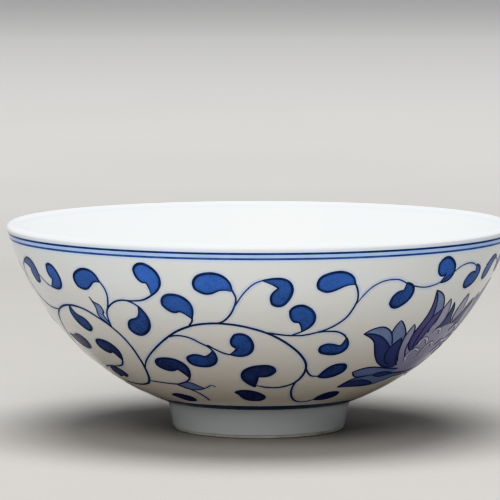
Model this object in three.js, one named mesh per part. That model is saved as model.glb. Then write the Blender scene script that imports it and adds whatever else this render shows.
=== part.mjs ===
// Handleless porcelain tea bowl on a turned foot ring, with painted lines below its lip and above
// its foot. Millimetres, +Z up, origin at the centre of the foot ring's resting face.
// The solids are the layers the fired bowl is made of: the porcelain wall and foot, the glaze over
// them, and the cobalt lines let into the glaze.
import * as THREE from 'three';

// ---- driving dimensions ----
const RIM_RADIUS = 45;
const BOWL_HEIGHT = 37;
const LIP_THICKNESS = 1.7;
const FLOOR_TOP = 8.1;
const GLAZE = 0.25;

const FOOT_HEIGHT = 5;
const FOOT_TOP_RADIUS = 16.2;
const FOOT_BASE_RADIUS = 15.4;
const RECESS_RADIUS = 12.8;
const BARE_EDGE = 0.5;
const EDGE_CHAMFER = 0.35;

// Painted lines: the heights of each one's lower and upper edge.
const PAINTED_LINES = {
  foot_line: [5.4, 6.3],
  lower_rim_line: [34.3, 34.65],
  upper_rim_line: [35.2, 35.55],
};
const LINE_DEPTH = 0.1;

const SIDES = 48;
const WALL_STEPS = 14;
const INSIDE_STEPS = 14;
const LIP_STEPS = 4;
const LINE_CLEARANCE = 0.01;

// ---- profile curves, as (radius, height) ----
const vec = (radius, height) => new THREE.Vector2(radius, height);
const LIP_CENTRE = vec(RIM_RADIUS - LIP_THICKNESS / 2, BOWL_HEIGHT - LIP_THICKNESS / 2);

// The outside sweeps out low above the foot, then climbs ever more steeply to a plain lip.
const outsideCurve = new THREE.CubicBezierCurve(
  vec(FOOT_TOP_RADIUS, FOOT_HEIGHT),
  vec(0.807 * RIM_RADIUS, 0.327 * BOWL_HEIGHT),
  vec(0.96 * RIM_RADIUS, 0.805 * BOWL_HEIGHT),
  vec(RIM_RADIUS, LIP_CENTRE.y),
);

// The inside follows it down to a broad flat floor, and the wall thickens towards the foot.
const insideCurve = new THREE.CubicBezierCurve(
  vec(RIM_RADIUS - LIP_THICKNESS, LIP_CENTRE.y),
  vec(0.89 * RIM_RADIUS, 0.82 * BOWL_HEIGHT),
  vec(0.8 * RIM_RADIUS, FLOOR_TOP),
  vec(0, FLOOR_TOP),
);

// A point of a curve, moved square to it into the porcelain by depth.
// Both curves are drawn with the porcelain on their left.
function surfacePoint(curve, t, depth) {
  const tangent = curve.getTangent(t);
  const point = curve.getPoint(t);
  return vec(point.x - depth * tangent.y, point.y + depth * tangent.x);
}

// The lip's half circle from the outside over to the inside, drawn in by depth.
function lipPoints(depth) {
  const radius = LIP_THICKNESS / 2 - depth;
  const points = [];
  for (let i = 0; i <= LIP_STEPS; i += 1) {
    const angle = (Math.PI * i) / LIP_STEPS;
    points.push(vec(
      LIP_CENTRE.x + radius * Math.cos(angle),
      LIP_CENTRE.y + radius * Math.sin(angle),
    ));
  }
  return points;
}

function evenSteps(count) {
  return Array.from({ length: count + 1 }, (_, i) => i / count);
}

// Where the rising outside curve reaches a height, found by halving the range.
function parameterAtHeight(height) {
  let low = 0;
  let high = 1;
  for (let i = 0; i < 40; i += 1) {
    const middle = (low + high) / 2;
    if (outsideCurve.getPoint(middle).y < height) {
      low = middle;
    } else {
      high = middle;
    }
  }
  return (low + high) / 2;
}

function reversed(points) {
  return [...points].reverse();
}

// ---- painted lines ----
const lines = Object.entries(PAINTED_LINES).map(([name, [lowerEdge, upperEdge]]) => {
  const from = parameterAtHeight(lowerEdge);
  const to = parameterAtHeight(upperEdge);
  return {
    name,
    from,
    to,
    surface: [surfacePoint(outsideCurve, from, 0), surfacePoint(outsideCurve, to, 0)],
    bed: [surfacePoint(outsideCurve, from, LINE_DEPTH), surfacePoint(outsideCurve, to, LINE_DEPTH)],
  };
});

function isClearOfLines(t) {
  return lines.every((line) => t < line.from - LINE_CLEARANCE || t > line.to + LINE_CLEARANCE);
}

// The outside of the glaze from the foot to the lip, stepping down into each line's bed.
function glazedOutside() {
  const plain = evenSteps(WALL_STEPS).slice(0, -1).filter(isClearOfLines);
  const stations = plain.map((t) => ({ t, points: [surfacePoint(outsideCurve, t, 0)] }));
  for (const { from, surface, bed } of lines) {
    stations.push({ t: from, points: [surface[0], bed[0], bed[1], surface[1]] });
  }
  stations.sort((a, b) => a.t - b.t);
  return stations.flatMap((station) => station.points);
}

// ---- surfaces that neighbouring layers share ----
const FOOT_SLOPE = (FOOT_TOP_RADIUS - FOOT_BASE_RADIUS) / FOOT_HEIGHT;
const FLOOR_UNDERSIDE = FOOT_HEIGHT + GLAZE;
const BARE_RECESS_RADIUS = RECESS_RADIUS + GLAZE;

function footRadiusAt(height) {
  return FOOT_BASE_RADIUS + FOOT_SLOPE * height;
}

const footTop = vec(FOOT_TOP_RADIUS - GLAZE, FLOOR_UNDERSIDE);
const bareOutside = vec(footRadiusAt(BARE_EDGE) - GLAZE, BARE_EDGE);
const bareInside = vec(BARE_RECESS_RADIUS, BARE_EDGE);
const recessCorner = vec(BARE_RECESS_RADIUS, FLOOR_UNDERSIDE);

const innerSteps = evenSteps(INSIDE_STEPS).slice(1);
const bareWall = [
  ...evenSteps(WALL_STEPS).slice(1, -1).map((t) => surfacePoint(outsideCurve, t, GLAZE)),
  ...lipPoints(GLAZE),
  ...innerSteps.map((t) => surfacePoint(insideCurve, t, GLAZE)),
];

// ---- closed outline of each layer ----
const outlines = {
  bowl_wall: [vec(0, FLOOR_UNDERSIDE), recessCorner, footTop, ...bareWall],

  foot_ring: [
    recessCorner,
    bareInside,
    vec(BARE_RECESS_RADIUS, EDGE_CHAMFER),
    vec(BARE_RECESS_RADIUS + EDGE_CHAMFER, 0),
    vec(FOOT_BASE_RADIUS - GLAZE - EDGE_CHAMFER, 0),
    vec(footRadiusAt(EDGE_CHAMFER) - GLAZE, EDGE_CHAMFER),
    bareOutside,
    footTop,
    recessCorner,
  ],

  glaze_coat: [
    ...reversed(bareWall),
    footTop,
    bareOutside,
    vec(footRadiusAt(BARE_EDGE), BARE_EDGE),
    ...glazedOutside(),
    ...lipPoints(0),
    ...innerSteps.map((t) => surfacePoint(insideCurve, t, 0)),
  ],

  base_glaze: [
    vec(0, FOOT_HEIGHT),
    vec(RECESS_RADIUS, FOOT_HEIGHT),
    vec(RECESS_RADIUS, BARE_EDGE),
    bareInside,
    recessCorner,
    vec(0, FLOOR_UNDERSIDE),
  ],
};

for (const { name, surface, bed } of lines) {
  outlines[name] = [bed[0], surface[0], surface[1], bed[1], bed[0]];
}

// ---- finishes ----
const porcelain = { color: 0xece8df, roughness: 0.75, metalness: 0 };
const glaze = { color: 0xf1f3f2, roughness: 0.12, metalness: 0 };
const cobalt = { color: 0x24417d, roughness: 0.15, metalness: 0 };

const finishes = {
  bowl_wall: porcelain,
  foot_ring: porcelain,
  glaze_coat: glaze,
  base_glaze: glaze,
  foot_line: cobalt,
  lower_rim_line: cobalt,
  upper_rim_line: cobalt,
};

// ---- assembly: each outline is revolved about the vertical axis ----
const bowl = new THREE.Group();
for (const [name, outline] of Object.entries(outlines)) {
  const geometry = new THREE.LatheGeometry(outline, SIDES);
  geometry.rotateX(Math.PI / 2);
  const mesh = new THREE.Mesh(geometry, new THREE.MeshStandardMaterial(finishes[name]));
  mesh.name = name;
  bowl.add(mesh);
}

export default bowl;
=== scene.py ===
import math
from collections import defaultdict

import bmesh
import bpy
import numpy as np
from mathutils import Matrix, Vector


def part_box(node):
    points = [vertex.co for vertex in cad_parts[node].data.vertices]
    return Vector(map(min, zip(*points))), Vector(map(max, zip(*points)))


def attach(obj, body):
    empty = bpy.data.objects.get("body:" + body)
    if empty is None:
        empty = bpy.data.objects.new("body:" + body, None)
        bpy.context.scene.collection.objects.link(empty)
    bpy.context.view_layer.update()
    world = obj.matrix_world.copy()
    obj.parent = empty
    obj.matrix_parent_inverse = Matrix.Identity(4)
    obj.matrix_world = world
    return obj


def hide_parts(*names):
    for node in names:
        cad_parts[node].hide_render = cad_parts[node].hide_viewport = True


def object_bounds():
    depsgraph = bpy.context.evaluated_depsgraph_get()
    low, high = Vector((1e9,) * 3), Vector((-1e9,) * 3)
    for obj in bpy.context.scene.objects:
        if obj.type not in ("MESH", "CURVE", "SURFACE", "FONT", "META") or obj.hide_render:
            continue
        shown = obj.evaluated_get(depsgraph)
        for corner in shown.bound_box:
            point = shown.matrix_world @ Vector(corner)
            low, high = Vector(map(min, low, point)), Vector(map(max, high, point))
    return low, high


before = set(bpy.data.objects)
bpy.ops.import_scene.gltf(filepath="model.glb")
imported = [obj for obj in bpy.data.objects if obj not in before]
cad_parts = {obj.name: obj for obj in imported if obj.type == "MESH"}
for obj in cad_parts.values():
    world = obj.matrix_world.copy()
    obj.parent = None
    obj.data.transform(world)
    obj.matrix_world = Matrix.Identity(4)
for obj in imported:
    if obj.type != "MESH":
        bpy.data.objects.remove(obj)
CAD_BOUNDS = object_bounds()

# A blue-and-white porcelain tea bowl. The turned pieces are made from one profile, and the painting
# is laid on the outside of the wall stroke by stroke, as thin raised solids.
#
# Lengths are millimetres until make_piece() turns them into metres. A place on the outside of the
# wall is a chart point: (azimuth in degrees, height above the foot). Azimuth 0 faces -Y and turns
# towards +X.

MM = 0.001
# How far from the axis, and from the wall, a corner of the CAD still counts as on it.
ON_AXIS = 0.001
ON_WALL = 0.02
TINY = 1e-12


# ------ sizes, from the frame
def box_mm(node):
    """Lowest and highest corner of a CAD node, in millimetres."""
    low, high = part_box(node)
    return low / MM, high / MM


def axis_height(node):
    """The height at which the top of a CAD node crosses the bowl's axis."""
    corners = [v.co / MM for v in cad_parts[node].data.vertices]
    return max(p.z for p in corners if math.hypot(p.x, p.y) < ON_AXIS)


RIM_RADIUS = box_mm("glaze_coat")[1].x
BOWL_HEIGHT = box_mm("glaze_coat")[1].z
GLAZE = RIM_RADIUS - box_mm("bowl_wall")[1].x
FLOOR_TOP = axis_height("glaze_coat")
LIP_THICKNESS = 1.7

BARE_EDGE = box_mm("base_glaze")[0].z
RECESS_RADIUS = box_mm("base_glaze")[1].x - GLAZE
FOOT_HEIGHT = box_mm("foot_ring")[1].z - GLAZE
FOOT_TOP_RADIUS = box_mm("foot_ring")[1].x + GLAZE
FOOT_BASE_RADIUS = 15.4

SEGMENTS = 240
WALL_STEPS = 80
INSIDE_STEPS = 64
LIP_STEPS = 18
CORNER_STEPS = 6
RECESS_STEPS = 8
FOOT_FILLET = 0.9
RECESS_FILLET = 0.5
EDGE_ROUND = 0.35


# ------ profile curves
def blend(a, b, share):
    return a[0] + (b[0] - a[0]) * share, a[1] + (b[1] - a[1]) * share


def bezier(points, t):
    """A point of the Bezier curve with these control points."""
    while len(points) > 1:
        points = [blend(a, b, t) for a, b in zip(points, points[1:])]
    return points[0]


LIP_RADIUS = LIP_THICKNESS / 2
LIP_CENTRE = (RIM_RADIUS - LIP_RADIUS, BOWL_HEIGHT - LIP_RADIUS)
FOOT_CORNER = (FOOT_TOP_RADIUS, FOOT_HEIGHT)
# Control points of the wall's two faces, as (radius, height).
OUTSIDE = [
    FOOT_CORNER,
    (0.807 * RIM_RADIUS, 0.327 * BOWL_HEIGHT),
    (0.96 * RIM_RADIUS, 0.805 * BOWL_HEIGHT),
    (RIM_RADIUS, LIP_CENTRE[1]),
]
INSIDE = [
    (RIM_RADIUS - LIP_THICKNESS, LIP_CENTRE[1]),
    (0.89 * RIM_RADIUS, 0.82 * BOWL_HEIGHT),
    (0.8 * RIM_RADIUS, FLOOR_TOP),
    (0.0, FLOOR_TOP),
]

CHART_SAMPLES = 2000
_wall = np.array([bezier(OUTSIDE, i / CHART_SAMPLES) for i in range(CHART_SAMPLES + 1)])
_wall_flare = np.gradient(_wall[:, 0], _wall[:, 1])


def radius_at(height):
    """Radius of the outside of the wall at a height."""
    return float(np.interp(height, _wall[:, 1], _wall[:, 0]))


def flare_at(height):
    """How fast the outside radius grows with height."""
    return float(np.interp(height, _wall[:, 1], _wall_flare))


def scale_at(height):
    """Millimetres along the wall for one degree round it, and for one millimetre of height."""
    return radius_at(height) * math.pi / 180, math.hypot(1, flare_at(height))


def wall_profile(height, lift):
    """(radius, height) of a point lifted square off the outside of the wall."""
    flare = flare_at(height)
    slant = math.hypot(1, flare)
    return radius_at(height) + lift / slant, height - lift * flare / slant


def wall_point(place, lift):
    """A chart point in space, lifted square off the outside of the wall."""
    radius, height = wall_profile(place[1], lift)
    angle = math.radians(place[0])
    return radius * math.sin(angle), -radius * math.cos(angle), height


def inset(curve, t, depth):
    """A point of a profile curve, moved square to it into the porcelain on its left."""
    step = 0.001
    ahead = bezier(curve, min(t + step, 1))
    behind = bezier(curve, max(t - step, 0))
    along = (ahead[0] - behind[0], ahead[1] - behind[1])
    length = math.hypot(*along)
    point = bezier(curve, t)
    return point[0] - depth * along[1] / length, point[1] + depth * along[0] / length


def fractions(count):
    return [i / count for i in range(count + 1)]


def lip(depth):
    """The lip's half circle, from the outside over to the inside."""
    radius = LIP_RADIUS - depth
    turns = [math.pi * f for f in fractions(LIP_STEPS)]
    return [
        (LIP_CENTRE[0] + radius * math.cos(a), LIP_CENTRE[1] + radius * math.sin(a)) for a in turns
    ]


def rounded(before, corner, after, reach):
    """A rounded corner between two straight neighbours, starting reach away from it."""
    start = towards(corner, before, reach)
    end = towards(corner, after, reach)
    return [bezier([start, corner, end], f) for f in fractions(CORNER_STEPS)]


def towards(start, end, distance):
    return blend(start, end, distance / math.dist(start, end))


# ------ outlines of the turned pieces
FOOT_SLOPE = (FOOT_TOP_RADIUS - FOOT_BASE_RADIUS) / FOOT_HEIGHT
FLOOR_UNDERSIDE = FOOT_HEIGHT + GLAZE
FILLET_SHARE = 0.035
GLAZE_ROLL = 0.2


def foot_radius(height):
    return FOOT_BASE_RADIUS + FOOT_SLOPE * height


def porcelain_skin():
    """The wall under its glaze, from the foot over the lip to the middle of the floor."""
    outer = [inset(OUTSIDE, f, GLAZE) for f in fractions(WALL_STEPS // 2)[1:-1]]
    inner = [inset(INSIDE, f, GLAZE) for f in fractions(INSIDE_STEPS // 2)[1:]]
    return outer + lip(GLAZE) + inner


def glazed_foot_side():
    """The glaze from its rolled lower edge up the foot and round into the wall."""
    edge = (foot_radius(BARE_EDGE), BARE_EDGE)
    inner_edge = (edge[0] - GLAZE, BARE_EDGE)
    roll = rounded(inner_edge, edge, FOOT_CORNER, GLAZE_ROLL)
    wall_start = bezier(OUTSIDE, FILLET_SHARE)
    return [inner_edge] + roll + rounded(edge, FOOT_CORNER, wall_start, FOOT_FILLET)


def glaze_outline():
    wall = [bezier(OUTSIDE, f) for f in fractions(WALL_STEPS) if FILLET_SHARE < f < 1]
    inside = [bezier(INSIDE, f) for f in fractions(INSIDE_STEPS)[1:]]
    under = porcelain_skin()[::-1]
    foot_top = [(FOOT_TOP_RADIUS - GLAZE, FLOOR_UNDERSIDE)]
    return under + foot_top + glazed_foot_side() + wall + lip(0) + inside


def wall_outline():
    recess_corner = (RECESS_RADIUS + GLAZE, FLOOR_UNDERSIDE)
    foot_top = (FOOT_TOP_RADIUS - GLAZE, FLOOR_UNDERSIDE)
    return [(0.0, FLOOR_UNDERSIDE), recess_corner, foot_top] + porcelain_skin()


def foot_outline():
    inner = RECESS_RADIUS + GLAZE
    outer = foot_radius(0) - GLAZE
    inner_top = (inner, FLOOR_UNDERSIDE)
    outer_top = (FOOT_TOP_RADIUS - GLAZE, FLOOR_UNDERSIDE)
    inner_turn = rounded(inner_top, (inner, 0.0), (outer, 0.0), EDGE_ROUND)
    outer_turn = rounded((inner, 0.0), (outer, 0.0), outer_top, EDGE_ROUND)
    return [inner_top] + inner_turn + outer_turn + [outer_top, inner_top]


def base_outline():
    """The glazed ceiling and wall of the foot recess, with the glaze rolled off at its edge."""
    outer = (RECESS_RADIUS + GLAZE, BARE_EDGE)
    edge = (RECESS_RADIUS, BARE_EDGE)
    corner = (RECESS_RADIUS, FOOT_HEIGHT)
    middle = (0.0, FOOT_HEIGHT)
    ceiling = [(RECESS_RADIUS * f, FOOT_HEIGHT) for f in fractions(RECESS_STEPS)[:-1]]
    bend = rounded(middle, corner, edge, RECESS_FILLET)
    roll = rounded(corner, edge, outer, GLAZE_ROLL)
    top = [(outer[0], FLOOR_UNDERSIDE), (0.0, FLOOR_UNDERSIDE)]
    return ceiling + bend + roll + [outer] + top


# ------ meshes
SHARP_ANGLE = math.radians(40)
MERGE_DISTANCE = 1e-6


def make_piece(name, points, faces, material, nodes=(), values=None):
    """A named mesh piece from points in millimetres, with its finish and its place in the frame."""
    mesh = bpy.data.meshes.new(name)
    mesh.from_pydata([Vector(p) * MM for p in points], [], faces)
    for attribute, numbers in (values or {}).items():
        layer = mesh.attributes.new(attribute, "FLOAT", "POINT")
        layer.data.foreach_set("value", numbers)
    solid = bmesh.new()
    solid.from_mesh(mesh)
    bmesh.ops.remove_doubles(solid, verts=solid.verts, dist=MERGE_DISTANCE)
    bmesh.ops.recalc_face_normals(solid, faces=solid.faces)
    solid.to_mesh(mesh)
    solid.free()
    mesh.shade_smooth()
    mesh.set_sharp_from_angle(angle=SHARP_ANGLE)
    mesh.materials.append(material)
    piece = bpy.data.objects.new(name, mesh)
    bpy.context.scene.collection.objects.link(piece)
    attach(piece, "root")
    if nodes:
        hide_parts(*nodes)


def turn(name, outline, material, nodes=()):
    """A piece turned about the bowl's axis from its closed outline."""
    points = []
    for radius, height in outline:
        for k in range(SEGMENTS):
            angle = 2 * math.pi * k / SEGMENTS
            points.append((radius * math.sin(angle), -radius * math.cos(angle), height))
    faces = []
    for row in range(len(outline) - 1):
        for k in range(SEGMENTS):
            following = (k + 1) % SEGMENTS
            low, high = row * SEGMENTS, (row + 1) * SEGMENTS
            faces.append((low + k, low + following, high + following, high + k))
    make_piece(name, points, faces, material, nodes)


class Painting:
    """Painted shapes that become one piece: thin closed solids that follow the wall."""

    BED = 0.03

    def __init__(self):
        self.points = []
        self.faces = []
        self.from_edge = []
        self.tone = []

    def lay(self, rows, lift, tone=0.5):
        """A shape given as rows of chart points, each row running across it."""
        across = len(rows[0])
        places = [p for row in rows for p in row]
        top = [wall_point(p, lift) for p in places]
        bottom = [wall_point(p, -self.BED) for p in places]
        first = len(self.points)
        under = first + len(top)
        last = len(rows) - 1
        for i in range(last):
            for j in range(across - 1):
                a = i * across + j
                b, c, d = a + 1, a + across + 1, a + across
                self.faces.append((first + a, first + b, first + c, first + d))
                self.faces.append((under + d, under + c, under + b, under + a))
        rim = list(range(across))
        rim += [i * across + across - 1 for i in range(1, last + 1)]
        rim += [last * across + j for j in range(across - 2, -1, -1)]
        rim += [i * across for i in range(last - 1, 0, -1)]
        for a, b in zip(rim, rim[1:] + rim[:1]):
            self.faces.append((first + b, first + a, under + a, under + b))
        depth = distance_inside(np.array(top), [top[k] for k in rim])
        self.points += top + bottom
        self.from_edge += list(depth) * 2
        self.tone += [tone] * (2 * len(top))

    def piece(self, name, material, slot):
        values = {"from_edge": self.from_edge, "tone": self.tone}
        make_piece(name, self.points, self.faces, material, values=values)


def distance_inside(points, border):
    """Distance of each point from a closed border, in millimetres."""
    starts = np.array(border)
    ends = np.roll(starts, -1, axis=0)
    along = ends - starts
    length = np.maximum((along**2).sum(1), TINY)
    offset = points[:, None, :] - starts[None, :, :]
    share = np.clip((offset * along[None]).sum(2) / length[None], 0, 1)
    nearest = starts[None] + share[..., None] * along[None]
    return np.sqrt(((points[:, None, :] - nearest) ** 2).sum(2)).min(1)


# ------ drawing on the wall
SPLINE_STEPS = 8
# Where a shape is divided across its width, from its left edge at -1 to its right edge at 1. A
# petal more than so many degrees wide is divided finely enough to follow the wall.
STROKE_ACROSS = [-1, 0, 1]
BLEED_ACROSS = [-1, -0.5, 0, 0.5, 1]
FILL_ACROSS = [k / 4 for k in range(-4, 5)]
WIDE_ACROSS = [k / 12 for k in range(-12, 13)]
WIDE_PETAL = 12.0
TAPER = 0.06
THIN_END, BLUNT_END = 0.45, 0.6
BEND_ROOM = 0.9


def spline(p, q, r, s, t):
    """A number on the Catmull-Rom spline from q to r, with p before them and s after them."""
    bend = 2 * p - 5 * q + 4 * r - s
    twist = 3 * q - p - 3 * r + s
    return 0.5 * (2 * q + (r - p) * t + bend * t * t + twist * t**3)


def smooth_line(places):
    """A smooth line through given chart points."""
    before = blend(places[1], places[0], 2)
    after = blend(places[-2], places[-1], 2)
    ends = [before, *places, after]
    line = []
    for i in range(len(places) - 1):
        azimuths, heights = zip(*ends[i : i + 4])
        for t in fractions(SPLINE_STEPS)[:-1]:
            line.append((spline(*azimuths, t), spline(*heights, t)))
    return line + [places[-1]]


def step_mm(a, b):
    """The step between two chart points, in millimetres round the wall and up it."""
    round_scale, rise_scale = scale_at(b[1])
    return (b[0] - a[0]) * round_scale, (b[1] - a[1]) * rise_scale


def bends(line):
    """Signed curvature of a chart line at each of its points, per millimetre."""
    found = []
    for a, b, c in zip(line, line[1:], line[2:]):
        u, v = step_mm(a, b), step_mm(b, c)
        lu, lv = math.hypot(*u), math.hypot(*v)
        found.append((u[0] * v[1] - u[1] * v[0]) / (lu * lv * (lu + lv) / 2 + TINY))
    return [found[0], *found, found[-1]]


def held_back(width, bend):
    """A half width that stays short of the centre of the bend it lies inside."""
    if bend <= 0:
        return width
    return width / (1 + (width * bend / BEND_ROOM) ** 4) ** 0.25


def edges(line, widths):
    """The left and right edge of a band with these half widths along a chart line."""
    left, right = [], []
    turns = bends(line)
    for i, place in enumerate(line):
        behind, ahead = line[max(i - 1, 0)], line[min(i + 1, len(line) - 1)]
        round_scale, rise_scale = scale_at(place[1])
        run = (ahead[0] - behind[0]) * round_scale
        rise = (ahead[1] - behind[1]) * rise_scale
        length = math.hypot(run, rise) or 1
        side = (-rise / length / round_scale, run / length / rise_scale)
        out, back = held_back(widths[i], turns[i]), held_back(widths[i], -turns[i])
        left.append((place[0] + side[0] * out, place[1] + side[1] * out))
        right.append((place[0] - side[0] * back, place[1] - side[1] * back))
    return left, right


def rows_between(left, right, across):
    return [[blend(a, b, (x + 1) / 2) for x in across] for a, b in zip(left, right)]


def stroke(painting, line, widths, lift):
    """A brush line along chart points, with a half width at each of them."""
    painting.lay(rows_between(*edges(line, widths), STROKE_ACROSS), lift)


def tapered(count, width, thin=THIN_END, start=TAPER, end=TAPER):
    """Half widths that thin out over these shares of the line at its start and its end."""
    widths = []
    for f in fractions(count - 1):
        opening = min(1, thin + (1 - thin) * f / start)
        closing = min(1, thin + (1 - thin) * (1 - f) / end)
        widths.append(width * opening * closing)
    return widths


def resampled(line, count):
    """The line again, as count points spaced evenly along it."""
    lengths = [0.0]
    for a, b in zip(line, line[1:]):
        lengths.append(lengths[-1] + math.hypot(*step_mm(a, b)))
    wanted = np.linspace(0, lengths[-1], count)
    azimuths, heights = (np.interp(wanted, lengths, numbers) for numbers in zip(*line))
    return list(zip(azimuths.tolist(), heights.tolist()))


# ------ the painted scroll
# The scroll covers half the wall and is painted twice. One half runs from the middle of a lotus
# at azimuth -116 to the middle of the next one at azimuth 64, and each lotus is symmetrical.
LOTUS_AZIMUTH = 64.0
HALF_TURN = 180.0

# Leaves: the middle of the round head, the point that its tail bends round, the tip, the head's
# radius, how long the tail holds its width (1 thins out evenly, and more holds it longer), and
# how deep its cobalt is.
# On the leaves far round to the left, part of this depth of cobalt is painted shade.
LEAVES = [
    ((-12.4, 29.9), (-8.4, 31.0), (-6.3, 28.8), 2.05, 2.0, 0.2),
    ((4.6, 27.5), (8.3, 30.6), (0.8, 30.7), 1.6, 2.0, 0.9),
    ((15.8, 30.0), (20.3, 31.4), (22.4, 29.7), 1.85, 2.0, 0.5),
    ((10.0, 24.6), (13.2, 23.6), (11.0, 21.5), 1.95, 2.0, 0.4),
    ((-21.1, 26.3), (-17.4, 26.5), (-16.9, 23.7), 1.95, 2.0, 0.4),
    ((-5.0, 19.6), (-2.8, 17.4), (-8.2, 17.2), 1.9, 2.0, 0.1),
    ((-18.8, 15.9), (-13.2, 15.2), (-13.1, 17.8), 1.65, 2.0, 0.1),
    ((2.0, 13.9), (-5.6, 13.9), (-1.3, 10.7), 1.75, 4.0, 0.5),
    ((19.0, 18.1), (25.7, 17.0), (23.9, 20.0), 1.3, 2.0, 0.2),
    ((25.3, 13.9), (22.4, 12.8), (19.8, 12.7), 1.8, 2.0, 0.5),
    ((31.2, 8.4), (28.0, 7.9), (25.3, 7.6), 1.6, 2.0, 1.0),
    ((-2.3, 8.5), (-6.0, 9.6), (-9.4, 9.4), 1.9, 2.0, 0.8),
    ((-34.2, 7.6), (-37.6, 8.1), (-41.0, 8.0), 1.5, 2.0, 1.0),
    ((-70.0, 8.1), (-73.0, 8.8), (-76.5, 8.6), 1.3, 2.0, 0.5),
    ((-26.9, 31.5), (-23.4, 30.4), (-26.0, 27.7), 1.95, 2.0, 0.1),
    ((-33.4, 21.6), (-28.8, 22.5), (-30.6, 25.5), 1.85, 1.5, 0.7),
    ((-45.9, 29.3), (-42.0, 31.2), (-40.0, 29.4), 1.85, 2.0, 0.6),
    ((-56.8, 30.1), (-54.9, 28.1), (-60.0, 27.5), 1.8, 2.0, 0.6),
    ((-67.2, 29.3), (-65.6, 31.8), (-72.4, 31.1), 1.7, 2.0, 1.4),
    ((-53.0, 21.2), (-57.0, 22.3), (-55.4, 24.4), 1.6, 1.4, 0.9),
    ((-51.4, 17.1), (-46.0, 17.4), (-47.9, 14.6), 1.75, 2.0, 0.8),
    ((-62.2, 17.5), (-66.5, 16.9), (-69.5, 18.4), 1.8, 2.0, 1.0),
    ((-57.5, 11.9), (-60.0, 12.2), (-62.5, 10.7), 1.7, 2.0, 0.6),
    ((-30.2, 14.6), (-23.4, 15.4), (-24.2, 12.2), 1.85, 2.0, 0.5),
    ((59.8, 28.7), (64.8, 29.4), (60.6, 31.4), 1.6, 2.0, 1.0),
    ((68.9, 29.6), (70.0, 32.2), (73.2, 31.8), 1.5, 2.0, 0.8),
]

# Leaves beside a lotus, painted again on its other side.
PAIRED_LEAVES = [
    ((35.3, 26.5), (39.0, 27.8), (36.3, 29.45), 1.7, 2.6, 1.2),
    ((47.2, 31.8), (51.6, 30.4), (47.4, 29.0), 1.85, 2.0, 0.6),
]

# Stems, each from where it starts to where it ends or joins another.
MAIN_STEMS = [
    [
        (-39.2, 13.8), (-37.6, 14.7), (-35.2, 15.8), (-32.6, 16.9), (-29.5, 18.2), (-25.4, 19.9),
        (-22.5, 21.0), (-19.5, 21.9), (-16.0, 22.6), (-11.5, 22.95), (-7.0, 22.8), (-3.0, 22.3),
        (1.0, 21.5), (5.0, 20.3), (9.0, 18.6), (12.0, 17.0), (14.2, 15.3), (14.7, 13.7),
        (13.7, 12.2), (11.5, 11.2), (7.5, 10.6), (3.0, 10.6), (-0.8, 11.0),
    ],
    [
        (-82.5, 11.6), (-80.5, 12.9), (-77.5, 14.8), (-74.0, 17.0), (-70.0, 19.8), (-66.5, 21.9),
        (-63.0, 23.2), (-59.5, 24.0), (-56.0, 24.4), (-52.5, 24.4), (-49.0, 23.9), (-46.0, 22.9),
        (-43.0, 21.6), (-40.4, 19.8), (-39.1, 18.0), (-38.8, 16.2), (-39.3, 14.2), (-41.0, 12.4),
        (-43.4, 11.1), (-47.0, 10.2), (-53.0, 9.7), (-60.0, 9.6), (-68.0, 9.9), (-76.0, 10.6),
        (-82.0, 11.2),
    ],
]
SIDE_STEMS = [
    [(-6.2, 28.9), (-5.4, 27.6), (-5.8, 26.2), (-7.0, 24.6), (-8.8, 23.4), (-10.8, 22.9)],
    [
        (22.3, 30.0), (23.4, 28.6), (23.9, 27.0), (23.2, 25.2), (21.7, 23.5), (18.5, 22.0),
        (15.0, 21.2), (11.5, 20.75), (8.0, 20.75), (4.8, 21.0), (1.5, 21.4),
    ],
    [(11.0, 21.6), (10.2, 21.2), (8.5, 20.8)],
    [(-16.8, 24.0), (-17.0, 23.1), (-18.0, 22.4)],
    [(-8.2, 17.2), (-10.0, 17.4), (-12.0, 18.0), (-14.2, 18.9)],
    [
        (-13.2, 17.8), (-14.0, 18.5), (-16.0, 19.2), (-18.2, 20.0), (-20.5, 20.4), (-23.0, 20.4),
        (-25.3, 20.0),
    ],
    [(15.0, 21.2), (18.0, 21.35), (20.7, 21.2), (22.8, 20.6), (24.0, 19.9)],
    [(14.7, 14.4), (15.8, 13.5), (17.5, 12.8), (19.8, 12.7)],
    [
        (12.8, 11.7), (12.3, 10.6), (12.8, 9.2), (14.8, 8.0), (18.0, 7.3), (22.0, 7.2),
        (25.5, 7.6),
    ],
    [(-26.0, 27.9), (-28.0, 26.9), (-30.5, 26.5), (-34.0, 26.4)],
    [
        (-30.7, 25.3), (-32.0, 26.1), (-34.2, 26.45), (-37.0, 26.1), (-39.8, 25.0), (-41.4, 23.8),
        (-42.0, 22.4), (-42.1, 21.3),
    ],
    [(-40.2, 29.6), (-39.0, 28.4), (-38.9, 27.0), (-39.7, 25.5), (-40.5, 24.7)],
    [
        (-72.3, 31.1), (-75.0, 30.2), (-76.8, 28.6), (-76.8, 26.8), (-75.0, 25.0), (-71.5, 23.8),
        (-67.5, 23.2), (-63.0, 23.2),
    ],
    [(-47.6, 14.8), (-49.5, 13.9), (-52.0, 13.4), (-56.0, 13.1), (-61.0, 12.9), (-66.0, 12.4)],
    [
        (-24.0, 12.4), (-25.2, 11.7), (-27.5, 11.2), (-30.7, 10.75), (-34.5, 10.7),
        (-39.4, 10.8), (-44.0, 10.9),
    ],
    [
        (-31.5, 10.7), (-29.1, 10.1), (-26.8, 9.6), (-24.9, 9.0), (-23.9, 8.4), (-23.3, 7.9),
        (-23.1, 7.4),
    ],
]
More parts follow.
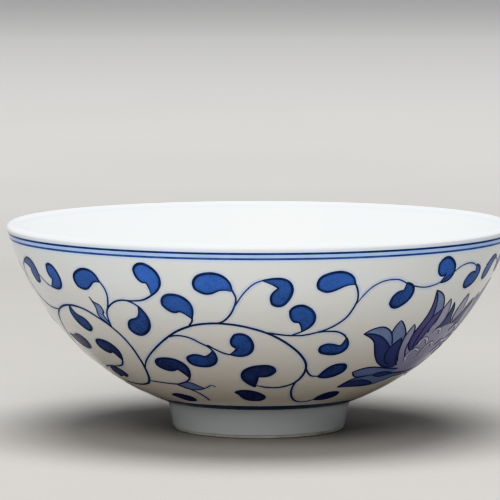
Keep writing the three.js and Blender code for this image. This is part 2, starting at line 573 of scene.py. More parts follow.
# The thinnest stems, and one beside a lotus that is painted again on its other side.
TENDRILS = [
    [(0.9, 30.7), (-1.0, 30.2), (-3.0, 28.9), (-4.6, 27.4), (-5.6, 26.2)],
    [(-59.8, 27.5), (-62.0, 27.9), (-64.0, 29.0), (-65.2, 30.0)],
    [(-20.9, 10.1), (-19.4, 10.4), (-17.7, 10.8), (-16.9, 10.75), (-16.0, 10.5)],
]
PAIRED_TENDRILS = [
    [
        (24.0, 26.3), (25.2, 27.7), (27.2, 29.2), (30.0, 30.1), (33.5, 30.2), (36.5, 29.4),
        (39.5, 28.7), (43.0, 28.4), (46.5, 28.8), (48.8, 29.6), (51.0, 30.5), (53.5, 31.5),
        (56.5, 31.9), (59.2, 31.6), (61.2, 30.9),
    ],
]

# Petals of a lotus's left half, painted in this order: the shade, then the left and the right
# edge, each from the tip down to the base. A petal without a right edge stands on the lotus's
# middle line, and its right edge mirrors its left one.
PETALS = [
    (
        "pale",
        [
            (52.2, 20.8), (49.9, 19.2), (48.0, 17.6), (46.9, 15.8), (46.2, 14.2), (46.8, 12.9),
            (48.5, 11.9),
        ],
        None,
    ),
    (
        "wash",
        [(39.1, 22.6), (38.3, 21.7), (38.0, 20.7), (38.4, 19.6), (40.0, 17.8), (43.0, 15.5)],
        [(39.1, 22.6), (40.6, 21.9), (42.2, 20.9), (43.5, 19.9), (44.3, 18.3), (45.5, 16.5)],
    ),
    (
        "wash",
        [(28.8, 20.5), (31.2, 19.9), (33.5, 18.9), (36.0, 17.5), (39.0, 16.0)],
        [(28.8, 20.5), (31.0, 21.3), (34.0, 21.6), (36.7, 20.9), (38.6, 19.8), (40.6, 18.0)],
    ),
    (
        "pale",
        [(44.9, 21.6), (44.3, 20.6), (43.9, 19.4), (44.5, 17.8), (46.2, 16.0), (49.5, 14.2)],
        [(44.9, 21.6), (46.1, 20.7), (46.9, 19.4), (47.4, 17.8), (48.8, 16.3), (52.5, 14.6)],
    ),
    (
        "pale",
        [(55.2, 25.6), (54.2, 24.4), (53.5, 23.0), (53.1, 21.6), (53.0, 20.4), (53.6, 19.4)],
        [(55.2, 25.6), (56.5, 24.5), (57.6, 23.0), (58.0, 21.8), (57.6, 20.8), (56.8, 20.0)],
    ),
    (
        "wash",
        [(47.3, 27.6), (48.0, 26.2), (48.4, 24.6), (48.2, 22.8), (48.6, 21.0), (50.0, 19.5)],
        [(47.3, 27.6), (49.4, 27.1), (51.4, 26.2), (53.0, 24.8), (53.9, 23.3), (54.0, 21.0)],
    ),
    (
        "dark",
        [
            (28.7, 20.5), (31.2, 19.8), (33.4, 18.8), (35.2, 17.2), (37.2, 15.8), (40.2, 14.5),
            (44.5, 13.6), (50.0, 13.3),
        ],
        [
            (28.7, 20.5), (31.8, 20.4), (34.8, 19.8), (37.6, 18.8), (40.2, 17.6), (42.5, 16.6),
            (46.0, 15.0), (50.5, 13.6),
        ],
    ),
    (
        "dark",
        [(42.7, 19.2), (41.5, 18.4), (40.4, 17.5), (40.5, 16.2), (42.5, 14.8), (46.0, 13.9)],
        [(42.7, 19.2), (43.9, 18.3), (45.0, 16.9), (46.4, 15.6), (48.4, 14.4), (50.8, 13.6)],
    ),
    (
        "plum",
        [
            (47.3, 27.6), (47.9, 26.2), (48.3, 24.6), (48.2, 23.0), (47.4, 21.2), (46.8, 19.6),
            (47.4, 18.1), (49.0, 17.0), (50.9, 16.3),
        ],
        [
            (47.3, 27.6), (48.7, 26.4), (49.7, 25.0), (50.5, 23.4), (51.2, 21.8), (51.6, 20.2),
            (51.8, 18.8), (51.7, 17.5), (51.4, 16.5),
        ],
    ),
    (
        "plum",
        [(53.7, 24.0), (52.3, 23.3), (51.0, 22.7), (50.2, 21.4), (49.8, 19.4), (50.4, 17.0)],
        [(53.7, 24.0), (53.7, 22.5), (53.2, 20.8), (52.5, 19.2), (51.9, 17.8), (51.6, 16.4)],
    ),
    (
        "pale",
        [(64.0, 26.0), (62.7, 24.8), (62.0, 23.2), (62.4, 21.9), (63.6, 21.0)],
        None,
    ),
    (
        "dark",
        [(57.9, 24.8), (58.3, 23.4), (58.3, 22.0), (57.6, 20.8), (56.4, 20.0)],
        [(57.9, 24.8), (59.8, 23.5), (61.0, 22.1), (62.4, 21.2), (64.0, 20.6)],
    ),
    (
        "wash",
        [(32.2, 13.1), (33.6, 12.4), (35.6, 12.0), (38.5, 12.1), (44.0, 12.0), (52.0, 11.9)],
        [(32.2, 13.1), (35.0, 13.6), (38.5, 13.8), (42.5, 13.6), (47.0, 13.2), (54.0, 12.8)],
    ),
    (
        "wash",
        [
            (30.9, 10.1), (34.0, 10.1), (38.8, 10.0), (43.5, 9.9), (48.5, 10.0), (52.5, 10.4),
            (56.5, 11.0), (60.0, 11.2), (64.0, 11.2),
        ],
        [
            (30.9, 10.1), (32.8, 11.0), (35.0, 11.7), (39.0, 12.0), (43.5, 12.2), (48.0, 12.1),
            (52.5, 12.0), (58.0, 11.8), (64.0, 11.7),
        ],
    ),
    (
        "dark",
        [(30.9, 10.1), (33.5, 10.1), (37.0, 10.1), (41.0, 10.05), (44.5, 10.1), (48.0, 10.2)],
        [(30.9, 10.1), (32.8, 10.9), (35.6, 11.3), (39.5, 11.3), (43.5, 10.9), (48.0, 10.2)],
    ),
    (
        "dark",
        [(42.4, 12.2), (44.6, 11.8), (47.4, 11.6), (50.4, 11.7), (54.0, 11.9)],
        [(42.4, 12.2), (44.6, 12.5), (47.4, 12.5), (50.4, 12.3), (54.0, 11.9)],
    ),
]

# Light curls left in the heart of a lotus, on its left half.
CURLS = [
    [(53.2, 14.3), (51.6, 15.3), (52.0, 16.2), (53.6, 16.5), (56.0, 16.1)],
    [(53.0, 17.2), (52.7, 18.0), (53.8, 18.5), (55.7, 18.2), (57.2, 17.4)],
    [(59.3, 14.9), (58.4, 16.0), (59.0, 17.1), (60.8, 17.3), (62.4, 16.5)],
    [(56.4, 19.2), (57.4, 19.9), (59.2, 19.9), (60.8, 19.0)],
]

# Small pointed sprigs in wash where stems part.
SPRIGS = [
    (
        "sprig",
        [(-45.4, 26.6), (-44.8, 25.4), (-44.6, 24.4), (-45.0, 23.1), (-43.6, 22.2), (-42.2, 21.5)],
        [(-45.4, 26.6), (-44.6, 25.7), (-42.8, 25.1), (-42.3, 24.0), (-43.0, 23.4), (-42.2, 21.8)],
    ),
    (
        "wash",
        [(-20.7, 10.1), (-23.0, 9.8), (-25.1, 9.7), (-27.5, 9.75), (-29.5, 10.05), (-31.6, 10.6)],
        [(-20.7, 10.1), (-23.0, 10.7), (-24.4, 11.1), (-26.3, 11.3), (-28.9, 11.0), (-31.6, 10.6)],
    ),
]

# Brush widths are half widths. A leaf's outline has these widths at these shares of its length,
# and a stem's pen is its width and the shares of its length that its start and its end thin over.
PEN_SHARES = [0.0, 0.25, 0.45, 0.7, 0.9, 1.0]
PEN_WIDTHS = [0.15, 0.24, 0.24, 0.16, 0.12, 0.05]
MAIN_PEN = (0.22, 0.3, 0.05)
SIDE_PEN = (0.17, 0.05, 0.05)
TENDRIL_PEN = (0.12, 0.08, 0.08)
PETAL_PEN = 0.14
BLEED_WIDTH = 0.8
CURL_PEN, CURL_SHADOW = 0.23, 0.38
TAIL = 0.06
SOFTENINGS = 16
HEAD_STEPS = 8
TAIL_STEPS = 22
JOINT_STEPS = (8, 5, 2)
TIP_REACH = 1.0
PETAL_STEPS = 28
CURL_STEPS = 4

# Lifts and rises keep shapes that cross from lying in one face.
BLEED_LIFT, BLEED_RISE = 0.004, 0.001
LEAF_LIFT, STEM_LIFT, OUTLINE_LIFT = 0.014, 0.02, 0.032
PETAL_LIFT, PETAL_RISE = 0.012, 0.004
STROKE_RISE = 0.0016
STROKE_LAYERS = 6


def mirrored(place):
    return 2 * LOTUS_AZIMUTH - place[0], place[1]


def turned_on(place, spin):
    return place[0] + spin, place[1]


def moved_leaf(leaf, move):
    """A leaf with its places moved and its look kept."""
    head, via, tip, *look = leaf
    return move(head), move(via), move(tip), *look


def leaf_band(head, via, tip, radius, hold):
    """A leaf's middle line and half widths: a round head, and a tail that bends to its tip."""
    round_scale, rise_scale = scale_at(head[1])
    run, rise = step_mm(head, via)
    length = math.hypot(run, rise)
    line, widths = [], []
    for k in range(HEAD_STEPS):
        angle = math.pi / 2 * (k + 0.5) / HEAD_STEPS
        back = -radius * math.cos(angle) / length
        line.append((head[0] + run * back / round_scale, head[1] + rise * back / rise_scale))
        widths.append(radius * math.sin(angle))
    for f in fractions(TAIL_STEPS):
        line.append(bezier([head, via, tip], f))
        widths.append(TAIL + (radius - TAIL) * (1 - f**hold))
    return line, widths


def softened(line):
    """The line with its sharp turns rounded off, and its ends where they were."""
    for _ in range(SOFTENINGS):
        middles = [blend(blend(a, c, 0.5), b, 0.5) for a, b, c in zip(line, line[1:], line[2:])]
        line = [line[0], *middles, line[-1]]
    return line


def leaf_edges(leaf):
    """A leaf's outer edge, round the outside of its bend, and its inner edge, head to tip."""
    head, via, tip, radius, hold = leaf[:-1]
    line, widths = leaf_band(head, via, tip, radius - PEN_WIDTHS[0] / 2, hold)
    outer, inner = edges(line, widths)
    if sum(bends(line)) > 0:
        outer, inner = inner, outer
    return outer, softened(inner)


def paint_leaf(leaf, fills, outlines, bleeds, order):
    outer, inner = leaf_edges(leaf)
    tone = leaf[-1]
    fills.lay(rows_between(outer, inner, FILL_ACROSS), LEAF_LIFT, tone)
    around = outer[::-1] + inner
    pen = np.interp(fractions(len(around) - 1), PEN_SHARES, PEN_WIDTHS)
    stroke(outlines, around, pen, OUTLINE_LIFT + order % STROKE_LAYERS * STROKE_RISE)
    bleed(bleeds, around, order)


def grown(places, leaves):
    """A stem, started along the outer edge of the leaf whose tip it leaves, if it leaves one."""
    for leaf in leaves:
        if math.hypot(*step_mm(leaf[2], places[0])) < TIP_REACH:
            outer = leaf_edges(leaf)[0]
            return [outer[-k] for k in JOINT_STEPS] + places[1:]
    return places


def paint_petal(petal, shades, outlines, order):
    shade, left, right = petal
    left = resampled(smooth_line(left), PETAL_STEPS)
    right = resampled(smooth_line(right), PETAL_STEPS)
    widest = max(abs(b[0] - a[0]) for a, b in zip(left, right))
    across = WIDE_ACROSS if widest > WIDE_PETAL else FILL_ACROSS
    lift = PETAL_LIFT + PETAL_RISE * order
    shades[shade].lay(rows_between(left, right, across), lift)
    pen = tapered(PETAL_STEPS, PETAL_PEN)
    for edge in (left, right):
        stroke(outlines, edge, pen, lift + STROKE_RISE)


def paint_curl(places, shadows, lights, order):
    line = resampled(smooth_line(places), CURL_STEPS * len(places))
    lift = PETAL_LIFT + PETAL_RISE * (len(PETALS) + order)
    stroke(shadows, line, tapered(len(line), CURL_SHADOW, BLUNT_END), lift)
    stroke(lights, line, tapered(len(line), CURL_PEN, BLUNT_END), lift + PETAL_RISE / 2)


def paint_stems(stems, bleeds, lines, leaves, pen, spin):
    width, start, end = pen
    for order, places in enumerate(lines):
        line = smooth_line([turned_on(p, spin) for p in grown(places, leaves)])
        lift = STEM_LIFT + order % STROKE_LAYERS * STROKE_RISE
        stroke(stems, line, tapered(len(line), width, BLUNT_END, start, end), lift)
        bleed(bleeds, line, order)


def bleed(bleeds, line, order):
    """The faint blue that spreads from a brush line into the glaze beside it."""
    rows = rows_between(*edges(line, [BLEED_WIDTH] * len(line)), BLEED_ACROSS)
    bleeds.lay(rows, BLEED_LIFT + order % STROKE_LAYERS * BLEED_RISE)


def both_sides(lines):
    """Lines beside a lotus, with the same lines on its other side."""
    return lines + [[mirrored(p) for p in line] for line in lines]


def flower_shapes(shapes):
    """A lotus's whole shapes, left and right, each with its place in the order of painting."""
    for order, (shade, left, right) in enumerate(shapes):
        far_left = [mirrored(p) for p in left]
        if right is None:
            yield order, (shade, left, far_left)
        else:
            yield order, (shade, left, right)
            yield order, (shade, far_left, [mirrored(p) for p in right])


def paint_scroll():
    """Every painted shape, sorted into the paintings that become pieces."""
    made = defaultdict(Painting)
    leaves = LEAVES + PAIRED_LEAVES + [moved_leaf(leaf, mirrored) for leaf in PAIRED_LEAVES]
    tendrils = TENDRILS + both_sides(PAIRED_TENDRILS)
    for spin in (0.0, HALF_TURN):
        for order, leaf in enumerate(leaves):
            here = moved_leaf(leaf, lambda place: turned_on(place, spin))
            paint_leaf(here, made["leaves"], made["outlines"], made["bleeds"], order)
        for lines, pen in ((MAIN_STEMS, MAIN_PEN), (SIDE_STEMS, SIDE_PEN), (tendrils, TENDRIL_PEN)):
            paint_stems(made["stems"], made["bleeds"], lines, leaves, pen, spin)
        for order, (shade, left, right) in [*flower_shapes(PETALS), *enumerate(SPRIGS)]:
            edges_here = [[turned_on(p, spin) for p in edge] for edge in (left, right)]
            paint_petal((shade, *edges_here), made, made["petal_lines"], order)
        for order, curl in enumerate(both_sides(CURLS)):
            places = [turned_on(p, spin) for p in curl]
            paint_curl(places, made["curl_shadows"], made["curls"], order)
    return made


# ------ materials
GLAZE_ROUGHNESS = (0.07, 0.13)
GLAZE_IOR = 1.45
PAINT_SPECULAR = 0.05

# Colours of the glaze; a pair is the two ends of a cloudy patch.
HIGH_WHITE = ((0.79, 0.82, 0.82), (0.79, 0.805, 0.79))
# Low on the outside: the glaze's own ivory tone, made darker and warmer by painted shade and a
# painted warm reflection.
LOW_IVORY_AND_SHADE = ((0.60, 0.545, 0.47), (0.63, 0.58, 0.51))
SPECK = (0.62, 0.60, 0.55)
# Greyer above the foot: painted shade in the crease where the wall meets the foot, over glaze
# pooled there.
POOLED_GLAZE_AND_SHADE = (0.60, 0.64, 0.66)
INSIDE_WHITE = (0.82, 0.835, 0.83)
# Greyer low in the well: painted shade in the hollow, over glaze pooled there.
WELL_GREY_SHADE = (0.58, 0.63, 0.645)
# The lip: whiter where the glaze runs thin, and brightened by a painted highlight.
LIP_WHITE_HIGHLIGHT = (0.92, 0.945, 0.965)
RIM_HAZE = (0.60, 0.74, 0.97)
BLEED_TINTS = ((0.42, 0.57, 0.95), (0.30, 0.36, 0.56))

# Heights between which a look sets in, from none of it to all of it.
IVORY_AND_SHADE_HEIGHTS = (30.0, 8.0)
POOL_AND_SHADE_HEIGHTS = (7.5, 5.2)
WELL_HEIGHTS = (26.0, 9.0)
LIP_HIGHLIGHT_HEIGHTS = (35.2, 36.0)
HAZE_FOOT, HAZE_TOP = (33.6, 34.3), (36.3, 35.0)
# Painted shade: the cobalt grows darker lower on the wall between these heights.
LOW_SHADE_SHAPE_HEIGHTS = (31.0, 15.0)
LOW_SHADE_LINE_HEIGHTS = (28.0, 12.0)

# What a shape's edge, mottling and tone add to the depth of its cobalt, and the depths at which
# it is lightest and deepest.
EDGE_DEPTH, MOTTLE_DEPTH, TONE_DEPTH = 0.45, 0.42, 0.45
DEPTH_RANGE = (0.15, 1.6)

# How far a surface faces up, where the outside of the bowl takes over from the inside.
OUTSIDE_FACING = (0.05, -0.2)

BARE_PORCELAIN = ((0.74, 0.71, 0.66), (0.60, 0.56, 0.50))
NEAR_FLOOR = ((0.315, 0.302, 0.285), (0.335, 0.322, 0.305))
FAR_FLOOR = (0.82, 0.805, 0.785)
FLOOR_PALING = (0.30, 1.7)

# A Mix node's sockets for colours.
MIX_SHARE, MIX_FIRST, MIX_SECOND, MIX_RESULT = 0, 6, 7, 2


class Shader:
    """A new node material around one Principled shader, with short calls for its nodes."""

    def __init__(self, name):
        self.material = bpy.data.materials.new(name)
        self.material.use_nodes = True
        self.tree = self.material.node_tree
        self.surface = self.tree.nodes["Principled BSDF"]
        self.place = self.node("ShaderNodeTexCoord").outputs["Object"]

    def node(self, kind, **settings):
        made = self.tree.nodes.new(kind)
        for key, value in settings.items():
            setattr(made, key, value)
        return made

    def link(self, source, target):
        self.tree.links.new(source, target)

    def feed(self, name, source):
        """Links a value to one of the Principled shader's own inputs."""
        self.link(source, self.surface.inputs[name])

    def noise(self, size, detail=2.0, roughness=0.5):
        """A soft noise whose blobs are about size millimetres across, from 0 to 1."""
        made = self.node("ShaderNodeTexNoise")
        made.inputs["Scale"].default_value = 1 / (size * MM)
        made.inputs["Detail"].default_value = detail
        made.inputs["Roughness"].default_value = roughness
        self.link(self.place, made.inputs["Vector"])
        return made.outputs["Fac"]

    def spread(self, value, low, high, start=0.0, end=1.0):
        """value from low to high becomes start to end, clamped."""
        made = self.node("ShaderNodeMapRange")
        numbers = {"From Min": low, "From Max": high, "To Min": start, "To Max": end}
        for key, number in numbers.items():
            made.inputs[key].default_value = number
        self.link(value, made.inputs["Value"])
        return made.outputs["Result"]

    def sum(self, first, second, share):
        """first plus share times second."""
        made = self.node("ShaderNodeMath", operation="MULTIPLY_ADD")
        self.link(second, made.inputs[0])
        made.inputs[1].default_value = share
        self.link(first, made.inputs[2])
        return made.outputs["Value"]

    def product(self, first, second):
        made = self.node("ShaderNodeMath", operation="MULTIPLY")
        self.link(first, made.inputs[0])
        self.link(second, made.inputs[1])
        return made.outputs["Value"]

    def mix(self, share, first, second):
        """A colour between two colours, each a plain colour or another socket."""
        made = self.node("ShaderNodeMix", data_type="RGBA")
        self.link(share, made.inputs[MIX_SHARE])
        for number, colour in ((MIX_FIRST, first), (MIX_SECOND, second)):
            if isinstance(colour, tuple):
                made.inputs[number].default_value = (*colour, 1)
            else:
                self.link(colour, made.inputs[number])
        return made.outputs[MIX_RESULT]

    def between(self, heights, start=0.0, end=1.0):
        """start at the first of two heights in millimetres, and end at the second."""
        made = self.node("ShaderNodeSeparateXYZ")
        self.link(self.place, made.inputs["Vector"])
        first, second = heights
        return self.spread(made.outputs["Z"], first * MM, second * MM, start, end)

    def facing_up(self):
        """1 where the surface faces straight up, and -1 where it faces straight down."""
        made = self.node("ShaderNodeSeparateXYZ")
        self.link(self.node("ShaderNodeNewGeometry").outputs["Normal"], made.inputs["Vector"])
        return made.outputs["Z"]

    def facing_out(self):
        """Above zero where the surface faces away from the middle of the foot."""
        made = self.node("ShaderNodeVectorMath", operation="DOT_PRODUCT")
        self.link(self.node("ShaderNodeNewGeometry").outputs["Normal"], made.inputs[0])
        self.link(self.place, made.inputs[1])
        return made.outputs["Value"]

    def attribute(self, name):
        return self.node("ShaderNodeAttribute", attribute_name=name).outputs["Fac"]

    def bump(self, value, depth_mm, before=None):
        """Raises the surface by value times a depth, on top of any earlier bump."""
        made = self.node("ShaderNodeBump")
        made.inputs["Strength"].default_value = 1.0
        made.inputs["Distance"].default_value = depth_mm * MM
        self.link(value, made.inputs["Height"])
        if before is not None:
            self.link(before, made.inputs["Normal"])
        return made.outputs["Normal"]


def glazed(shader, colour):
    """A colour under the glaze: slow waves, a fine orange peel, and patches of lower gloss."""
    shader.feed("Base Color", colour)
    waves = shader.bump(shader.noise(9.0, 1.0), 0.05)
    peel = shader.bump(shader.noise(1.1, 2.0), 0.0022, waves)
    shader.feed("Normal", peel)
    low, high = GLAZE_ROUGHNESS
    gloss = shader.spread(shader.noise(6.0, 3.0), 0.3, 0.7, low, high)
    shader.feed("Roughness", gloss)
    shader.surface.inputs["IOR"].default_value = GLAZE_IOR
    return shader.material


def outside_colour(shader):
    """The outside of the bowl: ivory low down, and darker and warmer there as painted shade, with a
    few specks, and greyer above the foot as painted shade and pooled glaze.
    """
    cloud = shader.spread(shader.noise(14.0, 3.0), 0.35, 0.65)
    high = shader.mix(cloud, *HIGH_WHITE)
    low = shader.mix(cloud, *LOW_IVORY_AND_SHADE)
    body = shader.mix(shader.between(IVORY_AND_SHADE_HEIGHTS), high, low)
    speck = shader.spread(shader.noise(0.35, 1.0), 0.74, 0.8, 0.0, 0.35)
    body = shader.mix(speck, body, SPECK)
    return shader.mix(shader.between(POOL_AND_SHADE_HEIGHTS, 0.0, 0.85), body, POOLED_GLAZE_AND_SHADE)


def inside_colour(shader):
    """The inside of the bowl: white, and greyer in the well as painted shade and pooled glaze."""
    well = shader.between(WELL_HEIGHTS, 0.0, 0.9)
    well = shader.product(well, shader.spread(shader.noise(11.0, 3.0), 0.25, 0.65, 0.75, 1.0))
    return shader.mix(well, INSIDE_WHITE, WELL_GREY_SHADE)


def rim_haze(shader):
    """How much of the rim lines' blue has spread into the glaze beside them."""
    band = shader.product(shader.between(HAZE_FOOT), shader.between(HAZE_TOP))
    outer_side = shader.spread(shader.facing_out(), 0.0, 0.01)
    return shader.product(band, outer_side)


def glaze_colour(shader):
    """Clear glaze on white porcelain, inside and outside, with its white lip brightened by a
    painted highlight.
    """
    outside = shader.spread(shader.facing_up(), *OUTSIDE_FACING)
    body = shader.mix(outside, inside_colour(shader), outside_colour(shader))
    body = shader.mix(shader.between(LIP_HIGHLIGHT_HEIGHTS), body, LIP_WHITE_HIGHLIGHT)
    return shader.mix(rim_haze(shader), body, RIM_HAZE)


def glaze_material():
    shader = Shader("glaze")
    return glazed(shader, glaze_colour(shader))


def cobalt_material(name, light, deep, edge_reach):
    """Cobalt under the glaze: mottled, deeper along its edges, and darker lower on the wall as
    painted shade.
    """
    shader = Shader(name)
    mottle = shader.spread(shader.noise(0.24, 2.0, 0.6), 0.34, 0.66)
    cloud = shader.spread(shader.noise(2.2, 2.0), 0.35, 0.65)
    depth = shader.sum(shader.product(mottle, cloud), mottle, 0.6)
    edge = shader.spread(shader.attribute("from_edge"), 0.0, edge_reach, EDGE_DEPTH, 0.0)
    low_shade = shader.between(LOW_SHADE_SHAPE_HEIGHTS)
    share = shader.sum(edge, depth, MOTTLE_DEPTH)
    share = shader.sum(share, low_shade, 1.0)
    share = shader.sum(share, shader.attribute("tone"), TONE_DEPTH)
    share = shader.spread(share, *DEPTH_RANGE)
    shader.surface.inputs["Specular IOR Level"].default_value = PAINT_SPECULAR
    return glazed(shader, shader.mix(share, light, deep))


def bleed_material():
    """Glaze with a blue haze that fades out to nothing at the edge of the stroke."""
    shader = Shader("cobalt_bleed")
    haze = shader.spread(shader.attribute("from_edge"), 0.0, BLEED_WIDTH, 0.0, 1.0)
    patch = shader.spread(shader.noise(1.5, 2.0), 0.3, 0.7, 0.4, 1.0)
    # Darker low on the wall: painted shade, as on the glaze around it.
    tint = shader.mix(shader.between(IVORY_AND_SHADE_HEIGHTS), *BLEED_TINTS)
    body = shader.mix(shader.product(haze, patch), glaze_colour(shader), tint)
    return glazed(shader, body)


def line_material(name, thin, thick, size):
    """A brush line: its cobalt runs thinner and thicker along it, and it is darker low on the wall
    as painted shade.
    """
    shader = Shader(name)
    run = shader.spread(shader.noise(size, 2.0), 0.35, 0.65)
    grain = shader.spread(shader.noise(0.4, 1.0), 0.3, 0.7, 0.0, 0.35)
    low_shade = shader.between(LOW_SHADE_LINE_HEIGHTS, 0.0, 0.6)
    share = shader.sum(shader.sum(run, grain, 1.0), low_shade, 1.0)
    shader.surface.inputs["Specular IOR Level"].default_value = PAINT_SPECULAR
    return glazed(shader, shader.mix(share, thin, thick))


def bare_porcelain_material():
    """Unglazed fired porcelain: matt, finely grained, faintly stained by use."""
    shader = Shader("bare_porcelain")
    stain = shader.spread(shader.noise(3.0, 4.0, 0.6), 0.35, 0.7)
    body = shader.mix(stain, *BARE_PORCELAIN)
    shader.feed("Base Color", body)
    grain = shader.noise(0.18, 3.0, 0.7)
    shader.feed("Roughness", shader.spread(grain, 0.3, 0.7, 0.62, 0.8))
    shader.feed("Normal", shader.bump(grain, 0.02))
    return shader.material


def floor_material():
    """A plain matt floor, paler far off, where less light falls on it."""
    shader = Shader("studio_floor")
    cloud = shader.spread(shader.noise(120.0, 3.0), 0.3, 0.7)
    near = shader.mix(cloud, *NEAR_FLOOR)
    distance = shader.node("ShaderNodeVectorMath", operation="LENGTH")
    shader.link(shader.place, distance.inputs[0])
    far = shader.spread(distance.outputs["Value"], *FLOOR_PALING)
    shader.feed("Base Color", shader.mix(far, near, FAR_FLOOR))
    grain = shader.noise(1.5, 3.0)
    shader.feed("Roughness", shader.spread(grain, 0.3, 0.7, 0.6, 0.7))
    shader.feed("Normal", shader.bump(grain, 0.03))
    return shader.material


# ------ the bowl
LINE_STEPS = 4
LINE_LIFT = 0.02
LINE_DEPTH = 0.1
BAND_LIFT = 0.01


def painted_heights(node):
    """The heights of a painted line's two edges, where they meet the outside of the wall."""
    corners = [v.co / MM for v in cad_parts[node].data.vertices]
    on_wall = [p.z for p in corners if abs(math.hypot(p.x, p.y) - radius_at(p.z)) < ON_WALL]
    return min(on_wall), max(on_wall)


def band_outline(low, high, lift):
    """A thin ring let into the outside of the wall between two heights."""
    heights = [low + (high - low) * f for f in fractions(LINE_STEPS)]
    face = [wall_profile(h, lift) for h in heights]
    bed = [wall_profile(h, -LINE_DEPTH) for h in heights[::-1]]
    return face + bed + face[:1]


def build_turned_pieces(glaze, porcelain, line):
    turn("glaze_skin", glaze_outline(), glaze, ["glaze_coat"])
    turn("recess_glaze", base_outline(), glaze, ["base_glaze"])
    turn("porcelain_wall", wall_outline(), porcelain, ["bowl_wall"])
    turn("porcelain_foot", foot_outline(), porcelain, ["foot_ring"])
    lower = line_material("cobalt_lower_rim", (0.075, 0.145, 0.39), (0.040, 0.085, 0.27), 2.5)
    upper = line_material("cobalt_upper_rim", (0.035, 0.080, 0.25), (0.020, 0.045, 0.16), 2.5)
    band = line_material("cobalt_band", (0.52, 0.67, 0.97), (0.43, 0.59, 0.93), 6.0)
    paints = {"foot_line": line, "lower_rim_line": lower, "upper_rim_line": upper}
    for node, paint in paints.items():
        outline = band_outline(*painted_heights(node), LINE_LIFT)
        turn(f"{node}_paint", outline, paint, [node])
    between_rims = (painted_heights("lower_rim_line")[1], painted_heights("upper_rim_line")[0])
    turn("rim_band_wash", band_outline(*between_rims, BAND_LIFT), band)


def build_painting(line):
    made = paint_scroll()
    leaf = cobalt_material("cobalt_leaf", (0.086, 0.193, 0.60), (0.052, 0.054, 0.086), 0.55)
    dark = cobalt_material("cobalt_dark", (0.082, 0.116, 0.32), (0.080, 0.090, 0.175), 0.9)
    plum = cobalt_material("cobalt_plum", (0.180, 0.172, 0.34), (0.108, 0.104, 0.215), 0.7)
    wash = cobalt_material("cobalt_wash", (0.29, 0.38, 0.59), (0.175, 0.21, 0.34), 0.8)
    pale = cobalt_material("cobalt_pale", (0.490, 0.475, 0.61), (0.31, 0.305, 0.43), 0.9)
    sprig = cobalt_material("cobalt_sprig", (0.30, 0.39, 0.60), (0.16, 0.21, 0.40), 0.6)
    stem = line_material("cobalt_stem", (0.044, 0.084, 0.210), (0.036, 0.047, 0.076), 2.5)
    curl = line_material("reserved_white", (0.47, 0.46, 0.55), (0.60, 0.58, 0.65), 2.0)
    shadow = line_material("curl_shade", (0.16, 0.15, 0.28), (0.10, 0.10, 0.21), 1.5)
    made["bleeds"].piece("cobalt_bleed", bleed_material(), "glaze")
    made["leaves"].piece("painted_leaves", leaf, "cobalt")
    made["outlines"].piece("leaf_outlines", line, "cobalt")
    made["stems"].piece("scroll_stems", stem, "cobalt")
    made["dark"].piece("lotus_dark_petals", dark, "cobalt")
    made["plum"].piece("lotus_tall_petals", plum, "cobalt")
    made["petal_lines"].piece("lotus_outlines", line, "cobalt")
    made["curl_shadows"].piece("lotus_curl_shadows", shadow, "cobalt_wash")
    made["wash"].piece("lotus_wash_petals", wash, "cobalt_wash")
    made["pale"].piece("lotus_pale_petals", pale, "cobalt_wash")
    made["sprig"].piece("scroll_sprig", sprig, "cobalt_wash")
    made["curls"].piece("lotus_curls", curl, "cobalt_wash")


# ------ stage
FLOOR_RADIUS = 6.0
FLOOR_SIDES = 96
SKY = (0.95, 0.97, 1.0)
SKY_STRENGTH = 0.35
LIGHT_AIM = (0, 0, 0.02)
TOP_LIGHT_COLOUR = (0.985, 0.995, 1.0)
FRONT_LIGHT_COLOUR = (1.0, 0.985, 0.965)


def build_floor():
    mesh = bpy.data.meshes.new("studio_floor")
    disc = bmesh.new()
    bmesh.ops.create_circle(disc, cap_ends=True, segments=FLOOR_SIDES, radius=FLOOR_RADIUS)
    disc.to_mesh(mesh)
    disc.free()
    mesh.materials.append(floor_material())
    floor = bpy.data.objects.new("studio_floor", mesh)
    floor.location.z = CAD_BOUNDS[0].z
    bpy.context.scene.collection.objects.link(floor)


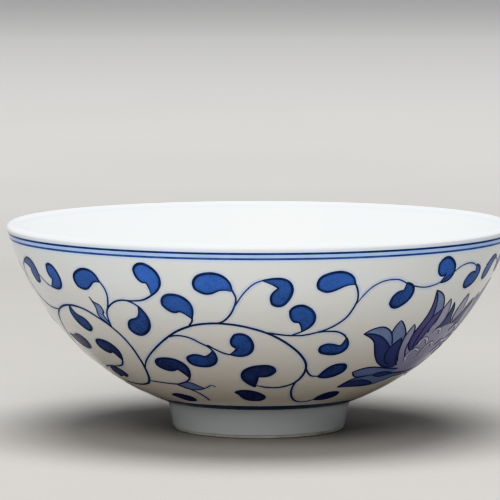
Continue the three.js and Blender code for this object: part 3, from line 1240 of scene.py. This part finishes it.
def add_light(name, place, size, power, colour):
    """A round soft light, aimed at the middle of the bowl."""
    light = bpy.data.lights.new(name, "AREA")
    light.shape = "DISK"
    light.size = size
    light.energy = power
    light.color = colour
    lamp = bpy.data.objects.new(name, light)
    lamp.location = place
    lamp.rotation_euler = (Vector(LIGHT_AIM) - Vector(place)).to_track_quat("-Z", "Y").to_euler()
    bpy.context.scene.collection.objects.link(lamp)


def light_studio():
    world = bpy.data.worlds.new("studio")
    world.use_nodes = True
    background = world.node_tree.nodes["Background"]
    background.inputs["Color"].default_value = (*SKY, 1)
    background.inputs["Strength"].default_value = SKY_STRENGTH
    bpy.context.scene.world = world
    add_light("top_light", (0.0, 0.1, 1.5), 1.2, 38.0, TOP_LIGHT_COLOUR)
    add_light("front_light", (-0.25, -1.3, 1.3), 1.4, 23.0, FRONT_LIGHT_COLOUR)


CAMERA_DISTANCE = 0.720
CAMERA_ELEVATION = math.radians(6.40)
CAMERA_LENS = 289.5
SENSOR_WIDTH = 36.0
AIM_UP, AIM_LEFT = 0.01332, 0.00161


def build_camera():
    """A long lens just above the rim, aimed a little above and left of the bowl's middle."""
    middle = (CAD_BOUNDS[0] + CAD_BOUNDS[1]) / 2
    back = Vector((0, -math.cos(CAMERA_ELEVATION), math.sin(CAMERA_ELEVATION)))
    up = Vector((0, math.sin(CAMERA_ELEVATION), math.cos(CAMERA_ELEVATION)))
    lens = bpy.data.cameras.new("camera")
    lens.lens = CAMERA_LENS
    lens.sensor_width = SENSOR_WIDTH
    camera = bpy.data.objects.new("camera", lens)
    camera.location = middle + back * CAMERA_DISTANCE
    aim = middle + up * AIM_UP + Vector((-AIM_LEFT, 0, 0))
    camera.rotation_euler = (aim - camera.location).to_track_quat("-Z", "Y").to_euler()
    bpy.context.scene.collection.objects.link(camera)
    bpy.context.scene.camera = camera


build_camera()
build_floor()
light_studio()
cobalt_line = line_material("cobalt_line", (0.038, 0.062, 0.165), (0.032, 0.041, 0.080), 2.5)
build_turned_pieces(glaze_material(), bare_porcelain_material(), cobalt_line)
build_painting(cobalt_line)
bpy.context.scene.view_settings.view_transform = "Khronos PBR Neutral"
